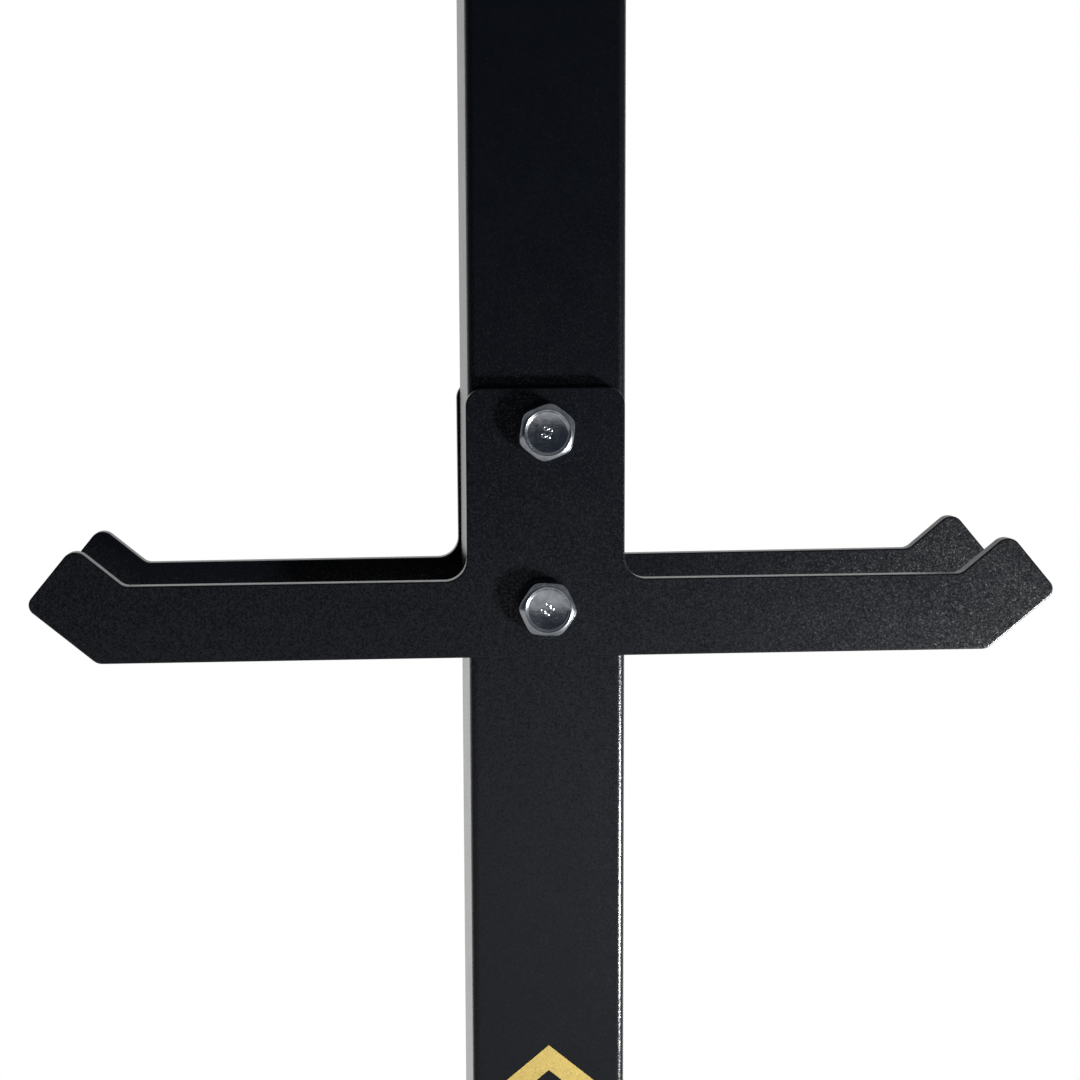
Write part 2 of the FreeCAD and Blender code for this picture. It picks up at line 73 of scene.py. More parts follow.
class Graph:
    """A short way to add and join nodes in one node tree."""

    def __init__(self, tree: bpy.types.NodeTree) -> None:
        """Keep the tree that the nodes go into."""
        self.tree = tree

    def feed(self, socket: Socket, value: object) -> None:
        """Join a socket to another one, or set its constant."""
        if isinstance(value, bpy.types.NodeSocket):
            self.tree.links.new(value, socket)
        else:
            socket.default_value = value

    def add(self, kind: str, settings: dict | None = None, **inputs: object) -> bpy.types.Node:
        """Add a node.

        Args:
            kind: The node's type name.
            settings: Properties of the node itself.
            inputs: Constants or sockets for its inputs, by name, with _ for each space.

        Returns:
            The new node.
        """
        node = self.tree.nodes.new(kind)
        for name, value in (settings or {}).items():
            setattr(node, name, value)
        for name, value in inputs.items():
            self.feed(node.inputs[name.replace("_", " ")], value)
        return node

    def maths(self, operation: str, *values: object) -> Socket:
        """Add a Math node and return its result."""
        node = self.add("ShaderNodeMath", {"operation": operation})
        for socket, value in zip(node.inputs, values):
            self.feed(socket, value)
        return node.outputs[0]

    def vector(self, operation: str, *values: object) -> bpy.types.Node:
        """Add a Vector Math node and return it."""
        node = self.add("ShaderNodeVectorMath", {"operation": operation})
        for socket, value in zip(node.inputs, values):
            self.feed(socket, value)
        return node

    def ramp(
        self, value: Socket, low: float, high: float, to_low: float = 0.0, to_high: float = 1.0
    ) -> Socket:
        """Map a value smoothly from one range to another.

        Args:
            value: What is mapped.
            low: Where the ramp begins.
            high: Where the ramp ends.
            to_low: Result at and below the beginning.
            to_high: Result at and above the end.

        Returns:
            The mapped value.
        """
        node = self.add("ShaderNodeMapRange", {"interpolation_type": "SMOOTHSTEP"}, Value=value)
        for name, number in zip(("From Min", "From Max", "To Min", "To Max"), (low, high, to_low, to_high)):
            self.feed(node.inputs[name], number)
        return node.outputs[0]

    def blend(self, factor: object, first: object, second: object) -> Socket:
        """Mix two colours.

        Args:
            factor: Share of the second colour.
            first: A colour or its socket.
            second: A colour or its socket.

        Returns:
            The mixed colour.
        """
        node = self.add("ShaderNodeMix", {"data_type": "RGBA"})
        for index, value in ((0, factor), (6, first), (7, second)):
            self.feed(node.inputs[index], (*value, 1.0) if isinstance(value, tuple) else value)
        return node.outputs[2]


class Effects:
    """Shader node groups that several finishes share, each built once."""

    def __init__(self) -> None:
        """Build every group."""
        self.relief = self._relief()
        self.drift = self._drift()
        self.wear = self._wear()
        self.glints = self._specks()
        self.tilt = self._tilt()

    @staticmethod
    def _open(
        name: str, inputs: dict[str, tuple[str, float | None]], output: str, kind: str = "NodeSocketFloat"
    ) -> tuple[Graph, dict[str, Socket], Socket]:
        """Start a group.

        Args:
            name: Name of the group.
            inputs: Each input's socket kind and default.
            output: Name of its one output.
            kind: Socket kind of the output.

        Returns:
            The graph, the input sockets by name, and the output socket.
        """
        tree = bpy.data.node_groups.new(name, "ShaderNodeTree")
        for label, (given, default) in inputs.items():
            socket = tree.interface.new_socket(name=label, in_out="INPUT", socket_type=given)
            if default is not None:
                socket.default_value = default
        tree.interface.new_socket(name=output, in_out="OUTPUT", socket_type=kind)
        start, end = tree.nodes.new("NodeGroupInput"), tree.nodes.new("NodeGroupOutput")
        return Graph(tree), {socket.name: socket for socket in start.outputs if socket.name}, end.inputs[0]

    def _relief(self) -> bpy.types.NodeTree:
        """A granular surface: packed round grains with finer noise over them and slow waves below."""
        number = "NodeSocketFloat"
        inputs = {
            "Vector": ("NodeSocketVector", None),
            "Grain": (number, 0.7 * MM),
            "Fine": (number, 0.4),
            "Waves": (number, 0.3),
        }
        graph, given, height = self._open("granular_relief", inputs, "Height")
        rate = graph.maths("DIVIDE", 1.0, given["Grain"])
        round_cells = {"feature": "SMOOTH_F1"}
        cells = graph.add("ShaderNodeTexVoronoi", round_cells, Vector=given["Vector"], Scale=rate)
        cells.inputs["Smoothness"].default_value = 0.6
        grains = graph.maths("SUBTRACT", 1.0, cells.outputs["Distance"])
        finer = graph.maths("MULTIPLY", rate, 2.1)
        fine = graph.add("ShaderNodeTexNoise", Vector=given["Vector"], Scale=finer, Detail=1.0)
        slower = graph.maths("MULTIPLY", rate, 0.16)
        waves = graph.add("ShaderNodeTexNoise", Vector=given["Vector"], Scale=slower, Detail=1.0)
        total = graph.maths("MULTIPLY_ADD", fine.outputs[0], given["Fine"], grains)
        graph.feed(height, graph.maths("MULTIPLY_ADD", waves.outputs[0], given["Waves"], total))
        return graph.tree

    def _drift(self) -> bpy.types.NodeTree:
        """A slow change of tone over a surface, about one."""
        number = "NodeSocketFloat"
        inputs = {"Vector": ("NodeSocketVector", None), "Size": (number, 0.03), "Amount": (number, 0.2)}
        graph, given, value = self._open("tone_drift", inputs, "Factor")
        rate = graph.maths("DIVIDE", 1.0, given["Size"])
        noise = graph.add("ShaderNodeTexNoise", Vector=given["Vector"], Scale=rate, Detail=3.0)
        centred = graph.maths("MULTIPLY", graph.maths("SUBTRACT", noise.outputs[0], 0.5), 2.0)
        graph.feed(value, graph.maths("MULTIPLY_ADD", centred, given["Amount"], 1.0))
        return graph.tree

    def _wear(self) -> bpy.types.NodeTree:
        """A mask of the outer edges, broken up by noise."""
        number = "NodeSocketFloat"
        inputs = {
            "Vector": ("NodeSocketVector", None),
            "Width": (number, 0.5 * MM),
            "Breaks": (number, 4 * MM),
        }
        graph, given, mask = self._open("edge_wear", inputs, "Mask")
        rounded = graph.add("ShaderNodeBevel", {"samples": 6}, Radius=given["Width"])
        true = graph.add("ShaderNodeNewGeometry").outputs["Normal"]
        facing = graph.vector("DOT_PRODUCT", rounded.outputs[0], true).outputs["Value"]
        edge = graph.ramp(facing, 0.995, 0.93)
        rate = graph.maths("DIVIDE", 1.0, given["Breaks"])
        noise = graph.add("ShaderNodeTexNoise", Vector=given["Vector"], Scale=rate, Detail=4.0)
        graph.feed(mask, graph.maths("MULTIPLY", edge, graph.ramp(noise.outputs[0], 0.42, 0.66)))
        return graph.tree

    def _tilt(self) -> bpy.types.NodeTree:
        """A normal tilted at random: softly from grain to grain, and sharply from facet to facet."""
        number = "NodeSocketFloat"
        inputs = {
            "Vector": ("NodeSocketVector", None),
            "Grain": (number, 0.8 * MM),
            "Soft": (number, 0.8),
            "Sharp": (number, 0.25),
        }
        graph, given, normal = self._open("tilted_grain", inputs, "Normal", "NodeSocketVector")
        rate = graph.maths("DIVIDE", 1.0, given["Grain"])
        noise = graph.add("ShaderNodeTexNoise", Vector=given["Vector"], Scale=rate, Detail=1.0)
        finer = graph.maths("MULTIPLY", rate, 1.6)
        cells = graph.add("ShaderNodeTexVoronoi", Vector=given["Vector"], Scale=finer)
        total = graph.add("ShaderNodeNewGeometry").outputs["Normal"]
        for texture, amount in ((noise, given["Soft"]), (cells, given["Sharp"])):
            centred = graph.vector("SUBTRACT", texture.outputs["Color"], Vector((0.5, 0.5, 0.5))).outputs[0]
            scaled = graph.vector("SCALE", centred)
            graph.feed(scaled.inputs["Scale"], amount)
            total = graph.vector("ADD", total, scaled.outputs[0]).outputs[0]
        graph.feed(normal, graph.vector("NORMALIZE", total).outputs[0])
        return graph.tree

    def _specks(self) -> bpy.types.NodeTree:
        """A mask of scattered round specks."""
        number = "NodeSocketFloat"
        inputs = {"Vector": ("NodeSocketVector", None), "Size": (number, 1.3 * MM), "Share": (number, 0.05)}
        graph, given, mask = self._open("scattered_specks", inputs, "Mask")
        rate = graph.maths("DIVIDE", 1.0, given["Size"])
        cells = graph.add("ShaderNodeTexVoronoi", Vector=given["Vector"], Scale=rate)
        near = graph.ramp(cells.outputs["Distance"], 0.22, 0.12)
        chance = graph.add("ShaderNodeSeparateColor", Color=cells.outputs["Color"]).outputs[0]
        graph.feed(mask, graph.maths("MULTIPLY", near, graph.maths("LESS_THAN", chance, given["Share"])))
        return graph.tree


class Finish:
    """A material under construction: its graph, its shader and the piece's own coordinates."""

    def __init__(self, name: str, effects: Effects) -> None:
        """Start a material.

        Args:
            name: Name of the material.
            effects: The shared groups.
        """
        self.material = bpy.data.materials.new(name)
        self.material.use_nodes = True
        self.graph = Graph(self.material.node_tree)
        self.shader = self.material.node_tree.nodes["Principled BSDF"]
        self.place = self.graph.add("ShaderNodeTexCoord").outputs["Object"]
        self.effects = effects

    def group(self, tree: bpy.types.NodeTree, **inputs: object) -> Socket:
        """Place a shared group, read in the piece's own coordinates, and return its output."""
        node = self.graph.add("ShaderNodeGroup", {"node_tree": tree}, Vector=self.place, **inputs)
        return node.outputs[0]

    def set(self, **inputs: object) -> None:
        """Set or join the shader's inputs, by name, with _ for each space."""
        for name, value in inputs.items():
            value = (*value, 1.0) if isinstance(value, tuple) and len(value) == 3 else value
            self.graph.feed(self.shader.inputs[name.replace("_", " ")], value)

    def bump(self, height: Socket, depth: float, under: Socket | None = None) -> Socket:
        """Turn a height into a normal.

        Args:
            height: The height, about 0 to 1.
            depth: Depth of the relief in metres.
            under: A normal that this one lies on.

        Returns:
            The normal.
        """
        node = self.graph.add("ShaderNodeBump", Height=height, Distance=depth, Strength=1.0)
        if under is not None:
            self.graph.feed(node.inputs["Normal"], under)
        return node.outputs[0]


# ---------------------------------------------------------------- finishes


@dataclass(frozen=True)
class PowderCoat:
    """Black fine-textured powder coat, with the torch-cut striations of a plate's edge showing through."""

    colour: Colour = (0.0019, 0.0027, 0.0045)
    # pale is the colour of painted glints: scattered specks lighter than the coat stand in for light
    # catching single grains.
    pale: Colour = (0.010, 0.012, 0.016)
    roughness: float = 0.25
    specular: float = 0.5
    grain: float = 0.55 * MM
    soft_tilt: float = 0.27
    sharp_tilt: float = 0.085
    glint_size: float = 1.3 * MM
    glint_share: float = 0.05
    cut_depth: float = 0.03 * MM
    cut_rate: float = 1400.0
    cut_stretch: float = 0.06

    def material(self, name: str, effects: Effects, cut_edges: bool) -> bpy.types.Material:
        """Build the material.

        Args:
            name: Name of the material.
            effects: The shared groups.
            cut_edges: True for a plate that stands on Y, whose edges keep the marks of cutting.

        Returns:
            The material.
        """
        finish = Finish(name, effects)
        graph = finish.graph
        tone = finish.group(effects.drift, Size=0.04, Amount=0.25)
        # Painted glints: a sparse speck mask lightens the base colour where light would sparkle on the
        # coat's grains.
        glints = finish.group(effects.glints, Size=self.glint_size, Share=self.glint_share)
        shade = graph.vector("SCALE", graph.blend(glints, self.colour, self.pale))
        graph.feed(shade.inputs["Scale"], tone)
        normal = finish.group(effects.tilt, Grain=self.grain, Soft=self.soft_tilt, Sharp=self.sharp_tilt)
        if cut_edges:
            along = Vector((1.0, self.cut_stretch, 1.0))
            drawn_out = graph.vector("MULTIPLY", finish.place, along).outputs[0]
            lines = graph.add("ShaderNodeTexNoise", Vector=drawn_out, Scale=self.cut_rate, Detail=2.0)
            facing = graph.add("ShaderNodeNewGeometry").outputs["Normal"]
            side = graph.add("ShaderNodeSeparateXYZ", Vector=facing).outputs["Y"]
            edge = graph.ramp(graph.maths("ABSOLUTE", side), 0.5, 0.1)
            normal = finish.bump(graph.maths("MULTIPLY", lines.outputs[0], edge), self.cut_depth, normal)
        uneven = finish.group(effects.drift, Size=0.012, Amount=0.12)
        finish.set(
            Base_Color=shade.outputs[0],
            Roughness=graph.maths("MULTIPLY", uneven, self.roughness),
            Normal=normal,
            Specular_IOR_Level=self.specular,
        )
        return finish.material


@dataclass(frozen=True)
class ZincPlate:
    """Bright zinc plating, faintly blue, with fine tumbling marks."""

    colour: Colour = (0.72, 0.75, 0.78)
    dull: Colour = (0.50, 0.53, 0.58)
    roughness: float = 0.17
    marks: float = 0.9 * MM
    depth: float = 0.006 * MM

    def material(self, name: str, effects: Effects) -> bpy.types.Material:
        """Build the material.

        Args:
            name: Name of the material.
            effects: The shared groups.

        Returns:
            The material.
        """
        finish = Finish(name, effects)
        tone = finish.group(effects.drift, Size=2.5 * MM, Amount=0.8)
        patches = finish.graph.ramp(tone, 0.75, 1.35)
        relief = finish.group(effects.relief, Grain=self.marks, Fine=1.2, Waves=1.5)
        uneven = finish.group(effects.drift, Size=1.2 * MM, Amount=0.35)
        finish.set(
            Base_Color=finish.graph.blend(patches, self.colour, self.dull),
            Metallic=1.0,
            Roughness=finish.graph.maths("MULTIPLY", uneven, self.roughness),
            Normal=finish.bump(relief, self.depth),
        )
        return finish.material


@dataclass(frozen=True)
class Moulding:
    """A moulded finish: plastic, rubber or nylon, by its colour, gloss and grain."""

    colour: Colour
    worn: Colour
    roughness: float
    grain: float
    depth: float
    subsurface: float = 0.0

    def material(self, name: str, effects: Effects) -> bpy.types.Material:
        """Build the material.

        Args:
            name: Name of the material.
            effects: The shared groups.

        Returns:
            The material.
        """
        finish = Finish(name, effects)
        wear = finish.group(effects.wear, Width=0.7 * MM, Breaks=3 * MM)
        tone = finish.group(effects.drift, Size=0.015, Amount=0.2)
        base = finish.graph.blend(finish.graph.maths("MULTIPLY", wear, 0.6), self.colour, self.worn)
        shade = finish.graph.vector("SCALE", base)
        finish.graph.feed(shade.inputs["Scale"], tone)
        relief = finish.group(effects.relief, Grain=self.grain, Fine=0.8, Waves=0.2)
        uneven = finish.group(effects.drift, Size=0.006, Amount=0.15)
        finish.set(
            Base_Color=shade.outputs[0],
            Roughness=finish.graph.maths("MULTIPLY", uneven, self.roughness),
            Normal=finish.bump(relief, self.depth),
            Subsurface_Weight=self.subsurface,
        )
        return finish.material


@dataclass(frozen=True)
class GoldPrint:
    """Gold ink printed over the powder coat, whose grain shows through it."""

    colour: Colour = (0.57, 0.425, 0.125)
    thin: Colour = (0.37, 0.27, 0.088)
    roughness: float = 0.42
    metallic: float = 0.35
    sharp_tilt: float = 0.1
    coat: PowderCoat = PowderCoat()

    def material(self, name: str, effects: Effects) -> bpy.types.Material:
        """Build the material.

        Args:
            name: Name of the material.
            effects: The shared groups.

        Returns:
            The material.
        """
        finish = Finish(name, effects)
        relief = finish.group(effects.relief, Grain=self.coat.grain, Fine=0.55, Waves=0.5)
        pits = finish.graph.ramp(relief, 0.85, 0.55)
        tone = finish.group(effects.drift, Size=0.004, Amount=0.1)
        base = finish.graph.blend(finish.graph.maths("MULTIPLY", pits, 0.7), self.colour, self.thin)
        shade = finish.graph.vector("SCALE", base)
        finish.graph.feed(shade.inputs["Scale"], tone)
        finish.set(
            Base_Color=shade.outputs[0],
            Metallic=self.metallic,
            Roughness=finish.graph.maths("MULTIPLY", tone, self.roughness),
            Normal=finish.group(
                effects.tilt, Grain=self.coat.grain, Soft=0.5 * self.coat.soft_tilt, Sharp=self.sharp_tilt
            ),
        )
        return finish.material


# ---------------------------------------------------------------- mesh tools


Ring = Sequence[Vector]


@dataclass
class Skin:
    """Vertices and faces of a mesh that grows ring by ring."""

    points: list[Vector] = field(default_factory=list)
    faces: list[tuple[int, ...]] = field(default_factory=list)

    def rings(self, rings: Iterable[Ring], loop: bool = False) -> "Skin":
        """Join equal rings into a closed skin, from the bottom of its axis outwards and round.

        Args:
            rings: Rings of equal count, counter-clockwise about the axis, the outer ones rising.
            loop: True to join the last ring to the first, False to cap both ends.

        Returns:
            This skin.
        """
        rings = [list(ring) for ring in rings]
        count, start = len(rings[0]), len(self.points)
        for ring in rings:
            self.points += ring
        pairs = list(zip(range(len(rings)), range(1, len(rings))))
        pairs += [(len(rings) - 1, 0)] if loop else []
        for low, high in pairs:
            for i in range(count):
                j = (i + 1) % count
                a, b = start + low * count, start + high * count
                self.faces.append((a + i, a + j, b + j, b + i))
        if not loop:
            self._fan(rings[0], start, False)
            self._fan(rings[-1], start + (len(rings) - 1) * count, True)
        return self

    def _fan(self, ring: Ring, start: int, upward: bool) -> None:
        """Close a ring with triangles to its middle."""
        count = len(ring)
        self.points.append(sum(ring, Vector()) / count)
        middle = len(self.points) - 1
        for i in range(count):
            j = (i + 1) % count
            self.faces.append((start + i, start + j, middle) if upward else (start + j, start + i, middle))

    def add(self, other: "Skin", move: Matrix = Matrix()) -> "Skin":
        """Add a moved copy of another skin and return this one."""
        start = len(self.points)
        self.points += [move @ point for point in other.points]
        self.faces += [tuple(start + index for index in face) for face in other.faces]
        return self

    def mesh(self, name: str, crease: float = 32.0) -> bpy.types.Mesh:
        """Make a smooth mesh with sharp creases.

        Args:
            name: Name of the mesh.
            crease: Angle in degrees above which an edge stays sharp.

        Returns:
            The mesh.
        """
        mesh = bpy.data.meshes.new(name)
        mesh.from_pydata([tuple(point) for point in self.points], [], self.faces)
        mesh.validate()
        mesh.shade_smooth()
        mesh.set_sharp_from_angle(angle=math.radians(crease))
        return mesh


def circle(radius: float, height: float, count: int) -> Ring:
    """A round ring about Z."""
    steps = (math.tau * i / count for i in range(count))
    return [Vector((radius * math.cos(a), radius * math.sin(a), height)) for a in steps]


def lathe(profile: Sequence[tuple[float, float]], count: int = 48) -> Skin:
    """Turn a profile about Z.

    Args:
        profile: Radius and height of each ring, from the bottom outwards and up.
        count: Points in each ring.

    Returns:
        The closed skin.
    """
    return Skin().rings(circle(radius, height, count) for radius, height in profile)


def rounded_square(half: float, corner: float, height: float, steps: int = 8) -> Ring:
    """A square ring about Z with round corners.

    Args:
        half: Half of its side.
        corner: Radius of its corners.
        height: Its height.
        steps: Segments in each corner.

    Returns:
        The ring.
    """
    ring = []
    for quarter in range(4):
        middle = Vector((half - corner, half - corner, height))
        turn = Matrix.Rotation(quarter * math.tau / 4, 3, "Z")
        for step in range(steps + 1):
            angle = step / steps * math.tau / 4
            ring.append(turn @ (middle + corner * Vector((math.cos(angle), math.sin(angle), 0.0))))
    return ring


CORNER_BLEND = 0.7 * MM


def hexagon_reach(angle: float, flats: float, corner: float) -> float:
    """Distance from a hexagon's middle to its outline.

    Args:
        angle: Direction in radians, a corner lying at 0.
        flats: Width across flats.
        corner: Greatest reach, which trims the corners round.

    Returns:
        The distance.
    """
    sector = math.tau / 6
    across = flats / 2 / math.cos((angle % sector) - sector / 2)
    share = max(CORNER_BLEND - abs(across - corner), 0.0) / CORNER_BLEND
    return min(across, corner) - share * share * CORNER_BLEND / 4


class Stamp:
    """Puts copies of a pattern on points with Geometry Nodes, and hands them over as one plain piece."""

    def __init__(self) -> None:
        """Build the tree once."""
        tree = bpy.data.node_groups.new("stamp_on_points", "GeometryNodeTree")
        kinds = {"Points": "Geometry", "Pattern": "Object", "Finish": "Material"}
        sockets = {
            name: tree.interface.new_socket(name=name, in_out="INPUT", socket_type=f"NodeSocket{kind}")
            for name, kind in kinds.items()
        }
        self.pattern, self.finish = sockets["Pattern"].identifier, sockets["Finish"].identifier
        tree.interface.new_socket(name="Piece", in_out="OUTPUT", socket_type="NodeSocketGeometry")
        graph = Graph(tree)
        given = graph.add("NodeGroupInput").outputs
        turn = graph.add("GeometryNodeInputNamedAttribute", {"data_type": "FLOAT_VECTOR"}, Name="turn")
        source = graph.add("GeometryNodeObjectInfo", Object=given["Pattern"])
        copies = graph.add("GeometryNodeInstanceOnPoints", Points=given["Points"])
        graph.feed(copies.inputs["Instance"], source.outputs["Geometry"])
        graph.feed(copies.inputs["Rotation"], turn.outputs["Attribute"])
        real = graph.add("GeometryNodeRealizeInstances", Geometry=copies.outputs[0])
        dressed = graph.add("GeometryNodeSetMaterial", Geometry=real.outputs[0], Material=given["Finish"])
        graph.feed(graph.add("NodeGroupOutput").inputs[0], dressed.outputs[0])
        self.tree = tree

    def press(
        self,
        name: str,
        pattern: bpy.types.Mesh,
        spots: Sequence[tuple[Vector, Euler]],
        finish: bpy.types.Material,
    ) -> bpy.types.Object:
        """Stamp a pattern on spots.

        Args:
            name: Name of the piece.
            pattern: The mesh to repeat.
            spots: Place and turn of each copy.
            finish: Its material.

        Returns:
            The finished piece.
        """
        points = bpy.data.meshes.new(f"{name}_spots")
        points.from_pydata([tuple(place) for place, _ in spots], [], [])
        turns = points.attributes.new("turn", "FLOAT_VECTOR", "POINT")
        turns.data.foreach_set("vector", [angle for _, turn in spots for angle in turn])
        source = bpy.data.objects.new(f"{name}_pattern", pattern)
        bpy.context.scene.collection.objects.link(source)
        piece = run_tree(name, points, self.tree, {self.pattern: source, self.finish: finish})
        bpy.data.objects.remove(source)
        return piece


def run_tree(
    name: str, mesh: bpy.types.Mesh, tree: bpy.types.NodeTree, inputs: dict[str, object]
) -> bpy.types.Object:
    """Run a geometry tree on a mesh and keep its plain result.

    Args:
        name: Name of the piece.
        mesh: What the tree starts from.
        tree: The geometry tree.
        inputs: Values of the modifier's inputs by socket identifier.

    Returns:
        An object that holds the result, with no modifier.
    """
    carrier = bpy.data.objects.new(f"{name}_carrier", mesh)
    bpy.context.scene.collection.objects.link(carrier)
    modifier = carrier.modifiers.new("tree", "NODES")
    modifier.node_group = tree
    for identifier, value in inputs.items():
        modifier[identifier] = value
    bpy.context.view_layer.update()
    result = bpy.data.meshes.new_from_object(carrier.evaluated_get(bpy.context.evaluated_depsgraph_get()))
    result.name = name
    bpy.data.objects.remove(carrier)
    piece = bpy.data.objects.new(name, result)
    bpy.context.scene.collection.objects.link(piece)
    return piece


def settle(piece: bpy.types.Object, slot: Slot, *nodes: str) -> bpy.types.Object:
    """Tie a finished piece to the frame.

    Args:
        piece: The piece, its place in its mesh.
        slot: The slot that its finish belongs to; not used.
        nodes: Frame nodes that it stands for.

    Returns:
        The piece.
    """
    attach(piece, "root")
    if nodes:
        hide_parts(*nodes)
    count = len(piece.data.polygons)
    log.info("%s: %d faces, stands for %s", piece.name, count, ", ".join(nodes) or "nothing")
    return piece


def middle(node: str) -> Vector:
    """Centre of a frame node's box."""
    low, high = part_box(node)
    return (low + high) / 2


FRONTWARD = Euler((math.pi / 2, 0.0, 0.0))
REARWARD = Euler((-math.pi / 2, 0.0, 0.0))


def spun(lay: Euler, spin: float) -> Euler:
    """A lay with a turn of some degrees about the piece's own axis before it."""
    return (lay.to_matrix() @ Matrix.Rotation(math.radians(spin), 3, "Z")).to_euler()


# ---------------------------------------------------------------- fasteners


@dataclass
class Fasteners:
    """M10 bolts with washers and locking nuts, sizes in metres along each one's own axis."""

    flats: float = 16.85 * MM
    corners: float = 9.12 * MM
    head: float = 6.4 * MM
    rim: float = 7.3 * MM
    dish: float = 6.45 * MM
    dish_depth: float = 0.55 * MM
    hollow: float = 0.35 * MM
    mark_turn: float = 51.0
    shank: float = 5.0 * MM
    length: float = 75 * MM
    thread_length: float = 26 * MM
    pitch: float = 1.5 * MM
    thread_depth: float = 0.85 * MM
    nut: float = 8.0 * MM
    collar: float = 2.4 * MM
    collar_radius: float = 7.45 * MM
    washer_radius: float = 10.0 * MM
    washer: float = 2.0 * MM
    chamfer_angle: float = 28.0
    head_points: int = 96
    thread_points: int = 40
    thread_rows: int = 6
    nut_spin: float = 2.3
    spins: dict[str, float] = field(
        default_factory=lambda: {
            "upper_hook": 22.0,
            "lower_hook": -4.0,
            "upper_base": 11.0,
            "lower_base": -17.0,
            "left_base": 27.0,
            "right_base": 6.0,
        }
    )

    def hexagon(self, height: Callable[[float], float], inset: float = 0.0) -> Ring:
        """A ring on the trimmed hexagon.

        Args:
            height: Height of a point from its distance to the axis.
            inset: How far the ring lies inside the outline.

        Returns:
            The ring.
        """
        ring = []
        for i in range(self.head_points):
            angle = math.tau * i / self.head_points
            reach = hexagon_reach(angle, self.flats, self.corners) - inset
            ring.append(Vector((reach * math.cos(angle), reach * math.sin(angle), height(reach))))
        return ring

    def chamfer(self, top: float, sign: float = 1.0) -> Callable[[float], float]:
        """Height of the cone that turns off the corners.

        Args:
            top: Height of the face that it starts from.
            sign: 1 for an upper face, -1 for a lower one.

        Returns:
            A function from distance to height.
        """
        slope = math.tan(math.radians(self.chamfer_angle))
        return lambda reach: top - sign * max(reach - self.rim, 0.0) * slope

    def bolt(self) -> bpy.types.Mesh:
        """Head up from 0, shank down: dished head with a raised mark, plain shank and rolled thread."""
        skin = Skin().rings([*self.thread(), circle(self.shank, 0.5 * MM, self.thread_points)])
        soft = 0.3 * MM
        under = 0.35 * MM
        lower, upper = self.chamfer(under, -1.0), self.chamfer(self.head)
        seat = [(self.shank + 0.1 * MM, -0.25 * MM), (self.shank + 0.4 * MM, 0.0)]
        seat += [(self.rim + 0.6 * MM, 0.0), (self.rim + 0.75 * MM, under)]
        rings = [circle(radius, height, self.head_points) for radius, height in seat]
        rings.append(self.hexagon(lower, soft))
        rings.append(self.hexagon(lambda reach: lower(reach) + soft))
        rings.append(self.hexagon(lambda reach: upper(reach) - 1.2 * soft))
        rings.append(self.hexagon(lambda reach: upper(reach + 0.3 * soft) - 0.45 * soft, 0.12 * soft))
        rings.append(self.hexagon(lambda reach: upper(reach + 0.3 * soft) - 0.12 * soft, 0.45 * soft))
        rings.append(self.hexagon(upper, 1.2 * soft))
        lip = ((0.2, 0.05), (0.0, 0.0), (-0.2, 0.0), (-0.45, 0.07), (-0.62, 0.22), (-0.75, 0.42))
        for out, drop in lip:
            rings.append(circle(self.rim + out * MM, self.head - drop * MM, self.head_points))
        for share in (0.985, 0.93, 0.8, 0.6, 0.35, 0.12):
            drop = self.dish_depth + self.hollow * (1.0 - share * share)
            rings.append(circle(self.dish * share, self.head - drop, self.head_points))
        skin.add(Skin().rings(rings))
        turn = Matrix.Rotation(math.radians(self.mark_turn), 4, "Z")
        floor = Matrix.Translation((0.0, 0.0, self.head - self.dish_depth - self.hollow))
        skin.add(self.mark(), floor @ turn)
        return skin.mesh("bolt_pattern")

    def thread(self) -> list[Ring]:
        """Rings of the shank's end, from the point up to the plain shank."""
        count, rows = self.thread_points, self.thread_rows
        rings = []
        for row in range(int(self.thread_length / self.pitch * rows) + 1):
            rise = row * self.pitch / rows
            height = rise - self.length
            fade = min((self.thread_length - rise) / self.pitch, 1.0)
            point = max(1.0 * MM - rise, 0.0)
            ring = []
            for i in range(count):
                phase = (row / rows + i / count) % 1.0
                depth = self.thread_depth * fade * abs(2.0 * phase - 1.0)
                reach = min(self.shank - depth, self.shank - point)
                angle = math.tau * i / count
                ring.append(Vector((reach * math.cos(angle), reach * math.sin(angle), height)))
            rings.append(ring)
        return rings

    def mark(self) -> Skin:
        """The common strength grade 8.8 in raised rounds: two rings for each eight and a dot between."""
        skin = Skin()
        rings = ((0.62 * MM, 0.82 * MM), (0.5 * MM, -0.72 * MM))
        for across in (-1.15 * MM, 1.15 * MM):
            for radius, up in rings:
                skin.add(torus(radius, 0.2 * MM, 20, 8), Matrix.Translation((across, up, 0.02 * MM)))
        dot = lathe([(0.22 * MM, 0.0), (0.24 * MM, 0.12 * MM), (0.12 * MM, 0.2 * MM)], 12)
        return skin.add(dot, Matrix.Translation((0.0, -1.15 * MM, 0.0)))

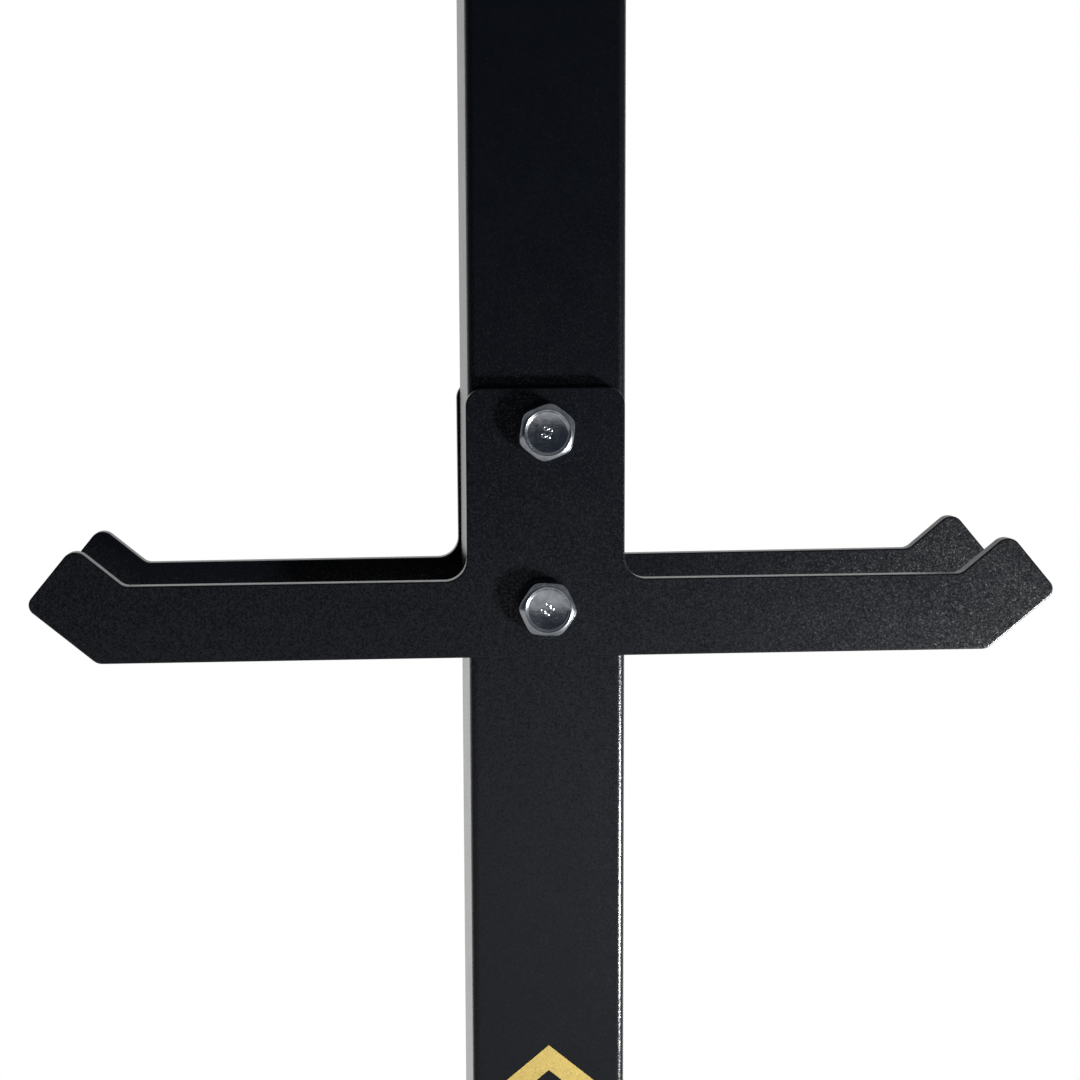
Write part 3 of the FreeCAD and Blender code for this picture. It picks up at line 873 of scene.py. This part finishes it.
    def lock_nut(self) -> bpy.types.Mesh:
        """Bearing face at 0: hexagon with both faces turned off, and a collar rolled over the ring."""
        count = self.head_points
        soft = 0.2 * MM
        bore = self.shank + 0.05 * MM
        lower, upper = self.chamfer(0.0, -1.0), self.chamfer(self.nut)
        rings = [circle(bore + 0.5 * MM, 0.0, count), circle(self.rim, 0.0, count)]
        rings.append(self.hexagon(lower, soft))
        rings.append(self.hexagon(lambda reach: lower(reach) + soft))
        rings.append(self.hexagon(lambda reach: upper(reach) - soft))
        rings.append(self.hexagon(upper, soft))
        collar, top = self.collar_radius, self.nut + self.collar
        shape = [(0.25, -2.45), (0.0, -2.1), (0.0, -1.2), (-0.15, -0.6)]
        shape += [(-0.6, -0.15), (-1.3, 0.0), (-1.75, -0.1)]
        rings += [circle(collar + radius * MM, top + rise * MM, count) for radius, rise in shape]
        rings.append(circle(collar - 1.75 * MM, self.nut, count))
        rings.append(circle(bore, self.nut, count))
        rings.append(circle(bore, 0.5 * MM, count))
        return Skin().rings(rings, loop=True).mesh("nut_pattern")

    def flat_washer(self) -> bpy.types.Mesh:
        """A punched washer: edges rolled over on top, a small burr edge below."""
        outer, inner, top = self.washer_radius, 5.5 * MM, self.washer
        shape = [
            (inner, 0.15 * MM), (inner + 0.15 * MM, 0.0), (outer - 0.12 * MM, 0.0), (outer, 0.12 * MM),
            (outer, top - 0.45 * MM), (outer - 0.15 * MM, top - 0.14 * MM), (outer - 0.5 * MM, top),
            (inner + 0.45 * MM, top), (inner + 0.12 * MM, top - 0.12 * MM), (inner, top - 0.4 * MM),
        ]
        rings = (circle(radius, height, 72) for radius, height in shape)
        return Skin().rings(rings, loop=True).mesh("washer_pattern")

    def nylon_ring(self) -> bpy.types.Mesh:
        """The ring that grips the thread, bulged where the thread has pressed it."""
        outer, inner, top = 6.4 * MM, self.shank - 0.02 * MM, 1.75 * MM
        shape = [
            (inner, 0.1 * MM), (outer, 0.0), (outer, top - 0.3 * MM), (outer - 0.4 * MM, top),
            (inner + 0.5 * MM, top), (inner + 0.1 * MM, top - 0.25 * MM),
        ]
        rings = (circle(radius, height, 48) for radius, height in shape)
        return Skin().rings(rings, loop=True).mesh("ring_pattern")

    def build(self, stamp: Stamp, zinc: bpy.types.Material, nylon: bpy.types.Material) -> None:
        """Stamp each kind of fastener over its frame nodes.

        Args:
            stamp: The tool that repeats a mesh.
            zinc: Finish of the metal parts.
            nylon: Finish of the rings.
        """
        rows = (
            ("bolt", self.bolt(), zinc, Slot.ZINC, FRONTWARD, lambda low, high: low.y + self.head),
            ("washer", self.flat_washer(), zinc, Slot.ZINC, REARWARD, lambda low, high: low.y),
            ("nut", self.lock_nut(), zinc, Slot.ZINC, REARWARD, lambda low, high: low.y),
            ("nylon_ring", self.nylon_ring(), nylon, Slot.NYLON, REARWARD, lambda low, high: low.y),
        )
        for kind, pattern, finish, slot, lay, seat in rows:
            nodes = [f"{joint}_{kind}" for joint in self.spins]
            spots = []
            for joint, node in zip(self.spins, nodes):
                place = middle(node)
                place.y = seat(*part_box(node))
                spin = self.spins[joint] if kind == "bolt" else self.spins[joint] * self.nut_spin
                spots.append((place, spun(lay, spin)))
            settle(stamp.press(f"hex_{kind}s", pattern, spots, finish), slot, *nodes)


def torus(radius: float, tube: float, around: int, across: int) -> Skin:
    """A ring of round bar about Z.

    Args:
        radius: Radius of the bar's centre line.
        tube: Radius of the bar.
        around: Points along the ring.
        across: Points round the bar.

    Returns:
        The closed skin.
    """
    turns = (math.tau * i / across for i in range(across))
    rings = (circle(radius - tube * math.cos(a), -tube * math.sin(a), around) for a in turns)
    return Skin().rings(rings, loop=True)


# ---------------------------------------------------------------- caps


@dataclass
class TubeCaps:
    """Moulded caps: a crowned flange outside and a ribbed hollow plug inside, sizes in metres."""

    half: float = 25 * MM
    corner: float = 2.5 * MM
    flange: float = 3 * MM
    bore: float = 22.85 * MM
    plug: float = 14 * MM
    wall: float = 3 * MM

    def pattern(self) -> bpy.types.Mesh:
        """The cap about Z, its flange standing up from 0."""
        plug_corner = 1.2 * MM
        inner = self.bore - self.wall
        rings = [rounded_square(inner * share, plug_corner * share, -0.4 * MM) for share in (0.3, 1.0)]
        rings.append(rounded_square(inner + 0.4 * MM, plug_corner, -self.plug))
        rings.append(rounded_square(self.bore - 1.0 * MM, plug_corner, -self.plug))
        rings.append(rounded_square(self.bore - 0.5 * MM, plug_corner, -self.plug + 0.6 * MM))
        for ridge in (-11.0, -8.0, -5.0):
            for out, up in ((-0.35, -0.9), (0.0, -0.5), (0.0, 0.3), (-0.35, 0.7)):
                rings.append(rounded_square(self.bore + out * MM, plug_corner, (ridge + up) * MM))
        rings.append(rounded_square(self.bore - 0.35 * MM, plug_corner, 0.0))
        rim = [(0.3, 0.0), (0.0, 0.25), (0.0, 1.7), (0.12, 2.15), (0.45, 2.5), (1.0, 2.68), (1.9, 2.72)]
        for inset, height in rim:
            corner = self.corner - min(inset, 1.2) * MM
            rings.append(rounded_square(self.half - inset * MM, corner, height * MM))
        for inset, height in ((2.3, 2.6), (2.6, 2.6), (3.0, 2.74), (8.0, 2.9), (14.0, 2.98)):
            corner = max(2.0 - inset * 0.1, 0.6) * MM
            rings.append(rounded_square(self.half - inset * MM, corner, height * MM))
        gate = ((2.2, 3.0), (2.0, 2.8), (0.5, 2.78))
        rings += [circle_on_square(radius * MM, height * MM) for radius, height in gate]
        return Skin().rings(rings).mesh("cap_pattern", 38.0)

    def build(self, stamp: Stamp, plastic: bpy.types.Material) -> None:
        """Stamp the cap over the five cap nodes.

        Args:
            stamp: The tool that repeats a mesh.
            plastic: Its finish.
        """
        pattern = self.pattern()
        top = middle("upright_top_cap")
        top.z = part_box("upright_top_cap")[1].z - self.flange
        spots, nodes = [(top, Euler())], ["upright_top_cap"]
        for side in ("left", "right"):
            for end, lay, sign in (("front", FRONTWARD, -1), ("rear", REARWARD, 1)):
                node = f"{end}_{side}_end_cap"
                low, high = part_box(node)
                place = (low + high) / 2
                place.y = low.y + self.flange if sign < 0 else high.y - self.flange
                spots.append((place, lay))
                nodes.append(node)
        settle(stamp.press("tube_caps", pattern, spots, plastic), Slot.PLASTIC, *nodes)


def circle_on_square(radius: float, height: float, steps: int = 8) -> Ring:
    """A round ring with as many points as a rounded square, in step with its corners."""
    count = 4 * (steps + 1)
    first = math.tau / count / 2
    angles = (first + math.tau * i / count for i in range(count))
    return [Vector((radius * math.cos(a), radius * math.sin(a), height)) for a in angles]


# ---------------------------------------------------------------- floor pads


@dataclass
class FloorPads:
    """Rubber pads with ribbed soles, and the socket screws that hold them, sizes in metres."""

    height: float = 8.0 * MM
    hole: float = 4.5 * MM
    recess: float = 8.5 * MM
    recess_depth: float = 5.5 * MM
    grooves: tuple[float, ...] = (10.6 * MM, 12.8 * MM, 15.0 * MM)
    screw_head: float = 7.0 * MM
    screw_rise: float = 4.0 * MM
    screw_length: float = 16 * MM
    screw_radius: float = 4.0 * MM
    thread_depth: float = 0.65 * MM
    pitch: float = 1.25 * MM
    socket: float = 5 * MM

    def pad(self) -> bpy.types.Mesh:
        """The pad about Z, standing on 0."""
        shape = [(self.hole, self.height), (self.hole, self.recess_depth), (self.recess, self.recess_depth)]
        shape += [(self.recess, 0.5 * MM), (self.recess + 0.4 * MM, 0.0)]
        for groove in self.grooves:
            for out, up in ((-0.6, 0.0), (-0.25, 0.7), (0.25, 0.7), (0.6, 0.0)):
                shape.append((groove + out * MM, up * MM))
        side = [(17.2, 0.0), (17.8, 0.25), (18.1, 0.9), (18.35, 2.6), (18.6, 4.2), (19.2, 5.6)]
        side += [(19.85, 6.6), (20.0, 7.1), (19.9, 7.7), (19.4, 8.0)]
        shape += [(radius * MM, height * MM) for radius, height in side]
        rings = (circle(radius, height, 64) for radius, height in shape)
        return Skin().rings(rings, loop=True).mesh("pad_pattern", 40.0)

    def screw(self) -> bpy.types.Mesh:
        """The screw about Z, its head below 0 with a hexagon socket, its shank above."""
        count, rows = 48, 5
        rise = self.screw_rise
        socket = [hexagon_reach(math.tau * i / count, self.socket, self.socket) for i in range(count)]

        def hexagon(height: float) -> Ring:
            """A ring on the socket's wall."""
            turns = ((math.tau * i / count, reach) for i, reach in enumerate(socket))
            return [Vector((reach * math.cos(a), reach * math.sin(a), height)) for a, reach in turns]

        rings = [circle(0.8 * MM, 2.4 * MM - rise, count)]
        rings += [hexagon(2.2 * MM - rise), hexagon(0.15 * MM - rise)]
        for inset, height in ((3.7, 0.0), (1.6, 0.1), (0.6, 0.7), (0.1, 1.8), (0.0, 3.7), (0.2, 4.0)):
            rings.append(circle(self.screw_head - inset * MM, height * MM - rise, count))
        rings.append(circle(self.screw_radius + 0.2 * MM, 0.0, count))
        for row in range(int((self.screw_length - 1.0 * MM) / self.pitch * rows) + 1):
            height = 0.3 * MM + row * self.pitch / rows
            point = max(height - self.screw_length + 1.2 * MM, 0.0)
            ring = []
            for i in range(count):
                phase = (row / rows - i / count) % 1.0
                depth = self.thread_depth * abs(2.0 * phase - 1.0)
                reach = self.screw_radius - max(depth, point)
                angle = math.tau * i / count
                ring.append(Vector((reach * math.cos(angle), reach * math.sin(angle), height)))
            rings.append(ring)
        return Skin().rings(rings).mesh("screw_pattern")

    def build(self, stamp: Stamp, rubber: bpy.types.Material, zinc: bpy.types.Material) -> None:
        """Stamp pads and screws over their nodes.

        Args:
            stamp: The tool that repeats a mesh.
            rubber: Finish of the pads.
            zinc: Finish of the screws.
        """
        corners = [f"{end}_{side}" for side in ("left", "right") for end in ("front", "rear")]
        for kind, pattern, finish, slot in (
            ("pad", self.pad(), rubber, Slot.RUBBER),
            ("pad_screw", self.screw(), zinc, Slot.ZINC),
        ):
            spots, nodes = [], [f"{corner}_{kind}" for corner in corners]
            for turn, node in enumerate(nodes):
                low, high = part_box(node)
                place = (low + high) / 2
                place.z = low.z if kind == "pad" else low.z + self.screw_rise
                spots.append((place, Euler((0.0, 0.0, 0.7 * turn))))
            settle(stamp.press(f"floor_{kind}s", pattern, spots, finish), slot, *nodes)


# ---------------------------------------------------------------- welds


@dataclass
class Welds:
    """Rippled beads round the crossbar's ends, made by a geometry tree, sizes in metres."""

    radius: float = 1.95 * MM
    corner: float = 2.5 * MM
    ripple: float = 1.6 * MM
    swell: float = 0.13
    ripple_steps: int = 6
    corner_steps: int = 8
    bar_points: int = 14

    def tree(self) -> tuple[bpy.types.NodeTree, dict[str, str]]:
        """Build the tree.

        Returns:
            The tree and the identifiers of its inputs by name.
        """
        tree = bpy.data.node_groups.new("rippled_bead", "GeometryNodeTree")
        number = "NodeSocketFloat"
        kinds = {
            "Side": number, "Corner": number, "Radius": number, "Ripple": number, "Swell": number,
            "Place": "NodeSocketVector", "Finish": "NodeSocketMaterial",
        }
        tree.interface.new_socket(name="Start", in_out="INPUT", socket_type="NodeSocketGeometry")
        names = {
            name: tree.interface.new_socket(name=name, in_out="INPUT", socket_type=kind).identifier
            for name, kind in kinds.items()
        }
        tree.interface.new_socket(name="Piece", in_out="OUTPUT", socket_type="NodeSocketGeometry")
        graph = Graph(tree)
        given = graph.add("NodeGroupInput").outputs
        side = given["Side"]
        square = graph.add("GeometryNodeCurvePrimitiveQuadrilateral", Width=side, Height=side).outputs[0]
        bent = graph.add("GeometryNodeFilletCurve", {"mode": "POLY"}, Curve=square, Radius=given["Corner"])
        bent.inputs["Count"].default_value = self.corner_steps
        step = graph.maths("DIVIDE", given["Ripple"], float(self.ripple_steps))
        path = graph.add("GeometryNodeResampleCurve", {"mode": "LENGTH"}, Curve=bent.outputs[0], Length=step)
        along = graph.add("GeometryNodeSplineParameter").outputs["Length"]
        phase = graph.maths("FRACT", graph.maths("DIVIDE", along, given["Ripple"]))
        arch = graph.maths("SINE", graph.maths("MULTIPLY", phase, math.pi))
        noise = graph.add("ShaderNodeTexNoise", {"noise_dimensions": "1D"}, Scale=180.0, W=along)
        uneven = graph.maths("MULTIPLY_ADD", noise.outputs[0], 0.12, 0.94)
        wave = graph.maths("MULTIPLY", graph.maths("MULTIPLY_ADD", arch, given["Swell"], 1.0), uneven)
        bar = graph.add("GeometryNodeCurvePrimitiveCircle", Radius=given["Radius"])
        bar.inputs["Resolution"].default_value = self.bar_points
        bead = graph.add("GeometryNodeCurveToMesh", Curve=path.outputs[0], Scale=wave)
        graph.feed(bead.inputs["Profile Curve"], bar.outputs[0])
        moved = graph.add("GeometryNodeTransform", Geometry=bead.outputs[0], Translation=given["Place"])
        moved.inputs["Rotation"].default_value = (0.0, math.pi / 2, 0.0)
        smooth = graph.add("GeometryNodeSetShadeSmooth", Geometry=moved.outputs[0])
        real = graph.add("GeometryNodeRealizeInstances", Geometry=smooth.outputs[0])
        dressed = graph.add("GeometryNodeSetMaterial", Geometry=real.outputs[0], Material=given["Finish"])
        graph.feed(graph.add("NodeGroupOutput").inputs[0], dressed.outputs[0])
        return tree, names

    def build(self, coat: bpy.types.Material) -> None:
        """Run a bead round each end of the crossbar.

        Args:
            coat: Its finish.
        """
        tree, names = self.tree()
        low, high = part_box("base_crossbar")
        for side, across in (("left", low.x), ("right", high.x)):
            values = {
                "Side": high.y - low.y,
                "Corner": self.corner,
                "Radius": self.radius,
                "Ripple": self.ripple,
                "Swell": self.swell,
                "Place": (across, (low.y + high.y) / 2, (low.z + high.z) / 2),
                "Finish": coat,
            }
            inputs = {names[name]: value for name, value in values.items()}
            start = bpy.data.meshes.new(f"{side}_start")
            settle(run_tree(f"{side}_rippled_weld", start, tree, inputs), Slot.COAT, f"{side}_weld_bead")


# ---------------------------------------------------------------- frame finishes


class CoatedSteel:
    """The frame's own tubes and plates, which keep their shapes and take their finishes."""

    TUBES = ("upright_tube", "base_crossbar", "left_foot_tube", "right_foot_tube")
    PLATES = ("front_hook_plate", "rear_hook_plate", "front_base_gusset", "rear_base_gusset")
    HIDDEN = tuple(f"{end}_{side}_weld_nut" for side in ("left", "right") for end in ("front", "rear"))

    def dress(self, nodes: Iterable[str], finish: bpy.types.Material) -> None:
        """Give frame nodes a finish.

        Args:
            nodes: Names of the nodes.
            finish: Their material.
        """
        for name in nodes:
            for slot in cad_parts[name].material_slots:
                slot.material = finish
            log.info("%s: %s", name, finish.name)


# ---------------------------------------------------------------- studio


@dataclass(frozen=True)
class Studio:
    """Pale floor, white backdrop, lights and the camera, in metres, degrees and watts."""

    stand: Vector = Vector((-0.05395, -0.56277, 0.10342))
    heading: float = 1.998
    tilt: float = 7.003
    roll: float = -0.615
    lens: float = 57.0
    shift: float = 0.0957
    key_offset: Vector = Vector((0.53, -0.43, -0.28))
    key_power: float = 2.9
    key_size: float = 0.11
    key_spread: float = 90.0
    floor_reach: float = 5.5
    dark_way: Vector = Vector((-0.30, -0.92, -0.25))
    dark_colour: Colour = (0.011, 0.016, 0.025)
    front_floor: float = 0.15
    rear_ramp: tuple[float, float] = (0.3, 1.5)
    front_ramp: tuple[float, float] = (-1.4, -2.2)
    side_ramp: tuple[float, float] = (0.82, 0.58)
    side_light: float = 0.11
    floor_fade: tuple[float, float] = (0.45, 1.2)
    floor_glow: float = 0.4
    backdrop_ramp: tuple[float, float] = (-0.10, 0.55)
    backdrop_light: float = 0.75

    def camera(self, seat: Vector) -> None:
        """Stand the camera before the hook plates.

        Args:
            seat: The middle of the plates' lower edge.
        """
        heading, tilt, roll = (math.radians(angle) for angle in (self.heading, self.tilt, self.roll))
        flat = Vector((math.sin(heading), math.cos(heading), 0.0))
        forward = flat * math.cos(tilt) - Vector((0.0, 0.0, math.sin(tilt)))
        level = Vector((math.cos(heading), -math.sin(heading), 0.0))
        up = level.cross(forward)
        right = math.cos(roll) * level + math.sin(roll) * up
        over = math.cos(roll) * up - math.sin(roll) * level
        data = bpy.data.cameras.new("camera")
        data.sensor_width = 36.0
        data.lens = self.lens
        data.shift_x = self.shift
        data.clip_start = 0.01
        camera = bpy.data.objects.new("camera", data)
        turn = Matrix((right, over, -forward)).transposed().to_4x4()
        camera.matrix_world = Matrix.Translation(seat + self.stand) @ turn
        bpy.context.scene.collection.objects.link(camera)
        bpy.context.scene.camera = camera
        bpy.context.scene.view_settings.view_transform = "Standard"

    def lights(self, seat: Vector) -> None:
        """Hang the key light and light the room.

        Args:
            seat: What the key light is aimed at.
        """
        data = bpy.data.lights.new("key", "AREA")
        data.shape = "DISK"
        data.size = self.key_size
        data.energy = self.key_power
        data.spread = math.radians(self.key_spread)
        key = bpy.data.objects.new("key", data)
        key.location = seat + self.key_offset
        key.rotation_euler = (-self.key_offset).to_track_quat("-Z", "Y").to_euler()
        bpy.context.scene.collection.objects.link(key)
        self.room()

    def room(self) -> None:
        """A white backdrop behind the object and a dark room before it; the camera sees plain white."""
        world = bpy.data.worlds.new("studio")
        world.use_nodes = True
        world.node_tree.nodes.clear()
        bpy.context.scene.world = world
        graph = Graph(world.node_tree)
        way = graph.add("ShaderNodeTexCoord").outputs["Generated"]
        facing = graph.vector("DOT_PRODUCT", way, self.dark_way.normalized()).outputs["Value"]
        sides = graph.ramp(facing, *self.side_ramp, 0.0, self.side_light)
        depth = graph.add("ShaderNodeSeparateXYZ", Vector=way).outputs["Y"]
        behind = graph.ramp(depth, *self.backdrop_ramp, 0.0, self.backdrop_light)
        seen = graph.add("ShaderNodeLightPath").outputs["Is Camera Ray"]
        share = graph.maths("MAXIMUM", seen, graph.maths("MAXIMUM", sides, behind))
        tint = graph.blend(share, self.dark_colour, (1.0, 1.0, 1.0))
        light = graph.add("ShaderNodeBackground", Color=tint, Strength=1.0)
        graph.feed(graph.add("ShaderNodeOutputWorld").inputs["Surface"], light.outputs[0])

    def floor(self) -> None:
        """A round pale floor that fades into the backdrop."""
        mesh = bpy.data.meshes.new("floor")
        rim = circle(self.floor_reach, 0.0, 96)
        mesh.from_pydata([tuple(point) for point in rim], [], [list(range(len(rim)))])
        floor = bpy.data.objects.new("floor", mesh)
        bpy.context.scene.collection.objects.link(floor)
        material = bpy.data.materials.new("floor")
        material.use_nodes = True
        graph = Graph(material.node_tree)
        shader = material.node_tree.nodes["Principled BSDF"]
        graph.feed(shader.inputs["Base Color"], (0.85, 0.85, 0.85, 1.0))
        graph.feed(shader.inputs["Roughness"], 0.9)
        place = graph.add("ShaderNodeTexCoord").outputs["Object"]
        away = graph.vector("LENGTH", place).outputs["Value"]
        seen = graph.add("ShaderNodeLightPath").outputs["Is Camera Ray"]
        depth = graph.add("ShaderNodeSeparateXYZ", Vector=place).outputs["Y"]
        rear = graph.ramp(depth, *self.rear_ramp)
        front = graph.ramp(depth, *self.front_ramp, 0.0, self.front_floor)
        bright = graph.maths("MAXIMUM", seen, graph.maths("MAXIMUM", rear, front))
        fade = graph.maths("MULTIPLY", bright, graph.ramp(away, *self.floor_fade, self.floor_glow, 1.0))
        white = graph.add("ShaderNodeEmission", Strength=1.0)
        mix = graph.add("ShaderNodeMixShader", Fac=fade)
        graph.feed(mix.inputs[1], shader.outputs[0])
        graph.feed(mix.inputs[2], white.outputs[0])
        graph.feed(material.node_tree.nodes["Material Output"].inputs["Surface"], mix.outputs[0])
        mesh.materials.append(material)


def main() -> None:
    """Build the set, the pieces and the finishes, in that order."""
    logging.basicConfig(level=logging.INFO, format="%(name)s: %(message)s")
    seat = Vector((0.0, 0.0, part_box("front_hook_plate")[0].z))
    studio = Studio()
    studio.camera(seat)
    studio.lights(seat)
    studio.floor()

    effects = Effects()
    coat = PowderCoat().material("coat_on_tube", effects, cut_edges=False)
    cut_coat = PowderCoat().material("coat_on_plate", effects, cut_edges=True)
    zinc = ZincPlate().material("bright_zinc", effects)
    plastic = Moulding((0.012, 0.012, 0.013), (0.05, 0.05, 0.05), 0.5, 0.5 * MM, 0.02 * MM)
    rubber = Moulding((0.014, 0.014, 0.014), (0.06, 0.058, 0.055), 0.75, 0.35 * MM, 0.02 * MM)
    nylon = Moulding((0.72, 0.72, 0.66), (0.8, 0.8, 0.76), 0.4, 0.8 * MM, 0.01 * MM, 0.2)
    gold = GoldPrint().material("gold_ink", effects)

    steel = CoatedSteel()
    steel.dress(CoatedSteel.TUBES, coat)
    steel.dress(CoatedSteel.PLATES, cut_coat)
    steel.dress(CoatedSteel.HIDDEN, zinc)
    steel.dress(("gold_mark",), gold)

    stamp = Stamp()
    Fasteners().build(stamp, zinc, nylon.material("locking_nylon", effects))
    TubeCaps().build(stamp, plastic.material("moulded_plastic", effects))
    FloorPads().build(stamp, rubber.material("moulded_rubber", effects), zinc)
    Welds().build(coat)


if __name__ == "__main__":
    main()
